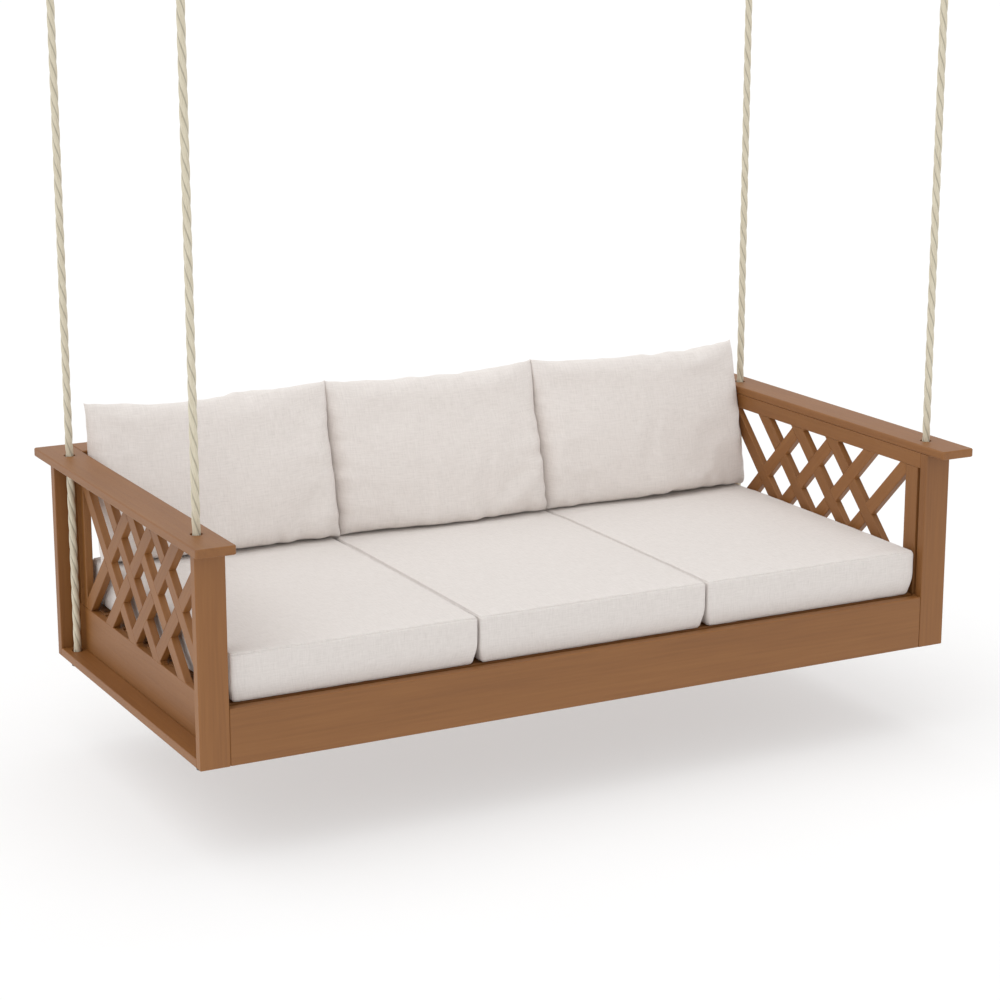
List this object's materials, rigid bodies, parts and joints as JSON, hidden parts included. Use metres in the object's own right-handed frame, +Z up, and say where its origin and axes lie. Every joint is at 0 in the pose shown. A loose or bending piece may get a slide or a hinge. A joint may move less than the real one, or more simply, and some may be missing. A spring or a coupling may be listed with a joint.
{
  "type": "porch swing",
  "caption": "Daybed porch swing: a slatted seat with lattice sides and back, loose cushions and back pillows, hung level from the ceiling by corner ropes.",
  "frame": {"origin": "in the ceiling plane, at the centre of the four ceiling eye bolts", "axes": "+X along the swing, +Y towards its back, -Y its front, +Z up"},
  "size_m": [2.124, 1.138, 2.0325],
  "materials": {
    "boards": "teak-brown plastic lumber, embossed wood grain, satin",
    "cushion_cloth": "warm light grey linen-look weave",
    "rope": "cream twisted three-strand rope",
    "stop": "dull black",
    "hardware": "satin stainless steel"
  },
  "bodies": {
    "ceiling": {"ceiling_eyes": "hardware"},
    "front_ropes": {"thimbles_front": "hardware", "rope_front_left": "rope", "rope_front_right": "rope"},
    "rear_ropes": {"thimbles_rear": "hardware", "rope_rear_left": "rope", "rope_rear_right": "rope"},
    "seat": {"arm_left": "boards", "arm_right": "boards", "back_cap": "boards", "back_pillow_left": "cushion_cloth", "back_pillow_middle": "cushion_cloth", "back_pillow_right": "cushion_cloth", "back_top_rail": "boards", "corner_brackets": "hardware", "deck_screws": "hardware", "front_rail": "boards", "joist_left": "boards", "joist_left_end": "boards", "joist_middle": "boards", "joist_right": "boards", "joist_right_end": "boards", "lattice_back_rising_left": "boards", "lattice_back_rising_right": "boards", "lattice_left_rising_forward": "boards", "lattice_left_rising_rearward": "boards", "lattice_right_rising_forward": "boards", "lattice_right_rising_rearward": "boards", "ledge_left": "boards", "ledge_right": "boards", "post_front_left": "boards", "post_front_right": "boards", "post_rear_left": "boards", "post_rear_right": "boards", "rear_rail": "boards", "rope_stops": "stop", "rope_tail_front_left": "rope", "rope_tail_front_right": "rope", "rope_tail_rear_left": "rope", "rope_tail_rear_right": "rope", "rope_washers": "hardware", "seat_board_1": "boards", "seat_board_2": "boards", "seat_board_3": "boards", "seat_board_4": "boards", "seat_board_5": "boards", "seat_board_6": "boards", "seat_board_7": "boards", "seat_cushion_left": "cushion_cloth", "seat_cushion_middle": "cushion_cloth", "seat_cushion_right": "cushion_cloth", "side_apron_left": "boards", "side_apron_right": "boards", "side_top_rail_left": "boards", "side_top_rail_right": "boards", "stile_front_left": "boards", "stile_front_right": "boards", "stile_rear_left": "boards", "stile_rear_right": "boards"}
  },
  "joints": [
    {"name": "front_swing", "type": "hinge", "parent": "ceiling", "child": "front_ropes", "pos_m": [0, -0.439, -0.0465], "axis": [1, 0, 0], "range_deg": [-15, 15]},
    {"name": "rear_swing", "type": "hinge", "parent": "ceiling", "child": "rear_ropes", "pos_m": [0, 0.439, -0.0465], "axis": [1, 0, 0], "range_deg": [-15, 15]},
    {"name": "seat_level", "type": "hinge", "parent": "front_ropes", "child": "seat", "pos_m": [0, -0.439, -1.423], "axis": [1, 0, 0], "range_deg": [-15, 15]}
  ],
  "couplings": [
    {"joint": "rear_swing", "follows": "front_swing", "ratio": 1},
    {"joint": "seat_level", "follows": "front_swing", "ratio": -1}
  ]
}
